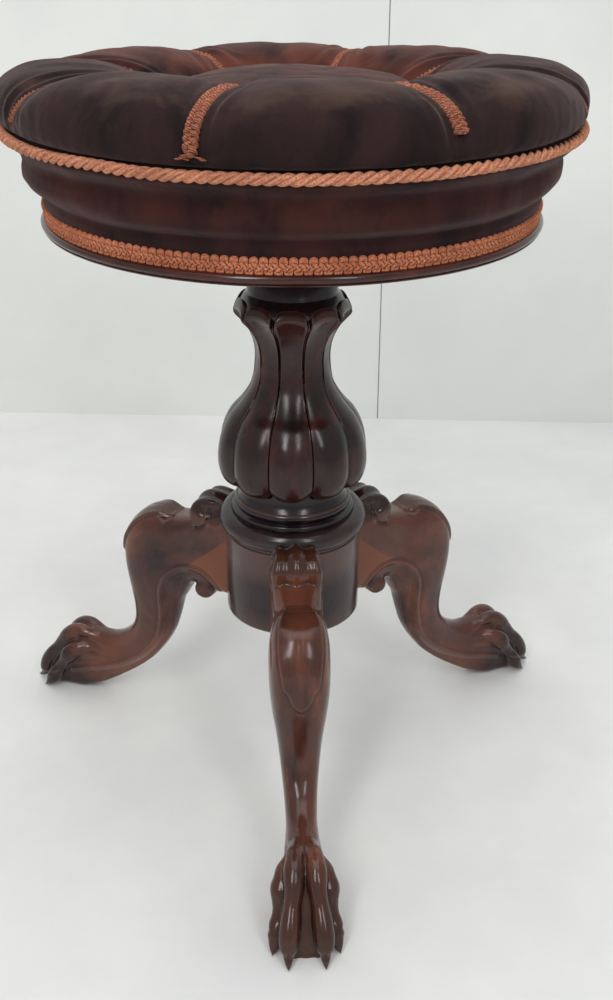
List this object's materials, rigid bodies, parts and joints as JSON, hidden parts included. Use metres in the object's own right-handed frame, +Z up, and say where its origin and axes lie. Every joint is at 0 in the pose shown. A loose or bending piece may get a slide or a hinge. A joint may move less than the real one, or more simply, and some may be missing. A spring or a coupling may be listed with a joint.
{
  "type": "piano stool",
  "caption": "Revolving piano stool: channelled round velvet seat with rope trim on an iron screw, over a carved pillar and cabriole legs with paw feet.",
  "frame": {"origin": "on the pillar's axis at floor level, midway between the three feet", "axes": "+Z up along the pillar; -Y towards the front leg; +X to the right seen from the front"},
  "size_m": [0.4338, 0.4349, 0.5418],
  "materials": {
    "base_wood": "polished",
    "column_wood": "high gloss",
    "leg_wood": "polished",
    "rim_wood": "polished",
    "hoop_wood": "raw",
    "iron": "dull",
    "steel": "oiled",
    "seat_velvet": "worn velvet",
    "border_velvet": "velvet",
    "trim": "twisted cord",
    "stuffing": "hair and linen"
  },
  "bodies": {
    "base": {"base_block": "base_wood", "column": "column_wood", "leg_front": "leg_wood", "leg_right": "leg_wood", "leg_left": "leg_wood", "thread_nut": "iron", "nut_screws": "steel"},
    "lift": {"stop_washer": "steel"},
    "seat": {"spindle_screw": "steel", "stop_nut": "steel", "seat_plate": "iron", "seat_plate_screws": "steel", "seat_board": "rim_wood", "seat_hoop": "hoop_wood", "border_velvet": "border_velvet", "stuffing": "stuffing", "gimp_braid": "trim", "seam_cord": "trim", "cushion_cover": "seat_velvet", "centre_pad": "seat_velvet", "radial_cord_1": "trim", "radial_cord_2": "trim", "radial_cord_3": "trim", "radial_cord_4": "trim", "radial_cord_5": "trim", "radial_cord_6": "trim", "radial_cord_7": "trim", "radial_cord_8": "trim"}
  },
  "joints": [
    {"name": "seat_rise", "type": "slide", "parent": "base", "child": "lift", "axis": [0, 0, 1], "range_m": [-0.0052, 0.0895]},
    {"name": "seat_turn", "type": "hinge", "parent": "lift", "child": "seat", "pos_m": [0, 0, 0.4], "axis": [0, 0, 1], "range_deg": [-294, 5073]}
  ],
  "couplings": [
    {"joint": "seat_rise", "follows": "seat_turn", "m_per_rad": 0.0010106}
  ]
}
